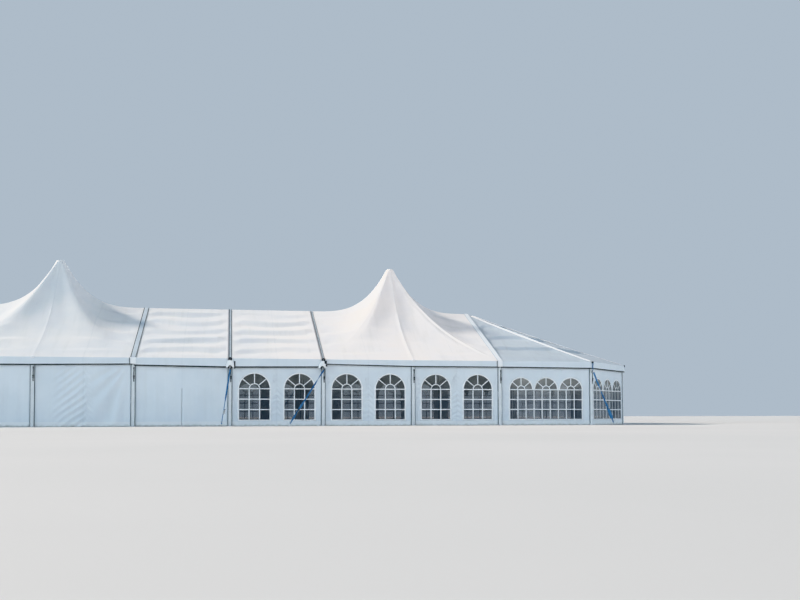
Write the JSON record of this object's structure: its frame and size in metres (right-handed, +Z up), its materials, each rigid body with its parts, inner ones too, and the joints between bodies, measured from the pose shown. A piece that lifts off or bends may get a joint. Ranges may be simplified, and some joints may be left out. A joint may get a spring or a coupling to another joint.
{
  "type": "marquee tent",
  "caption": "Long white frame marquee with peaked roof sections beside plain bays, faceted ends, arched window walls, valances and ground straps.",
  "frame": {"origin": "middle of the tent's plan, at the ground", "axes": "+X along the tent to the right as seen from the front, +Y to the back, +Z up"},
  "size_m": [29.0026, 11.46, 5.92],
  "materials": {
    "roof_cloth": "coated cloth, soft sheen",
    "wall_cloth": "coated cloth, soft sheen",
    "clear_sheet": "clear film",
    "aluminium": "mill finish",
    "steel": "galvanised",
    "webbing": "woven webbing"
  },
  "bodies": {
    "root": {"back_clear_sheet": "clear_sheet", "back_curtain_1": "wall_cloth", "back_curtain_2": "wall_cloth", "back_curtain_3": "wall_cloth", "back_eave_beam_and_mid_leg_left": "aluminium", "back_eave_beam_and_mid_leg_right": "aluminium", "back_ground_strap_1": "webbing", "back_ground_strap_2": "webbing", "back_left_corner_strap": "webbing", "back_right_corner_strap": "webbing", "back_window_wall_4": "wall_cloth", "back_window_wall_5": "wall_cloth", "back_window_wall_6": "wall_cloth", "end_canopy_left": "roof_cloth", "end_canopy_right": "roof_cloth", "front_clear_sheet": "clear_sheet", "front_curtain_1": "wall_cloth", "front_curtain_2": "wall_cloth", "front_curtain_3": "wall_cloth", "front_eave_beam_and_mid_leg_left": "aluminium", "front_eave_beam_and_mid_leg_right": "aluminium", "front_ground_strap_1": "webbing", "front_ground_strap_2": "webbing", "front_left_corner_strap": "webbing", "front_right_corner_strap": "webbing", "front_window_wall_4": "wall_cloth", "front_window_wall_5": "wall_cloth", "front_window_wall_6": "wall_cloth", "left_back_corner_wall": "wall_cloth", "left_back_side_wall": "wall_cloth", "left_end_clear_sheet": "clear_sheet", "left_end_hip_rafters": "aluminium", "left_end_wall": "wall_cloth", "left_end_wall_frame": "aluminium", "left_front_corner_wall": "wall_cloth", "left_front_side_wall": "wall_cloth", "middle_portal_frame_and_purlins": "aluminium", "peak_canopy_left": "roof_cloth", "peak_canopy_right": "roof_cloth", "peak_mast_left": "steel", "peak_mast_right": "steel", "plain_canopy_left": "roof_cloth", "plain_canopy_right": "roof_cloth", "portal_frame_1": "aluminium", "portal_frame_2": "aluminium", "portal_frame_4": "aluminium", "portal_frame_5": "aluminium", "right_back_corner_wall": "wall_cloth", "right_back_side_wall": "wall_cloth", "right_end_clear_sheet": "clear_sheet", "right_end_hip_rafters": "aluminium", "right_end_wall": "wall_cloth", "right_end_wall_frame": "aluminium", "right_front_corner_wall": "wall_cloth", "right_front_side_wall": "wall_cloth"}
  },
  "joints": []
}
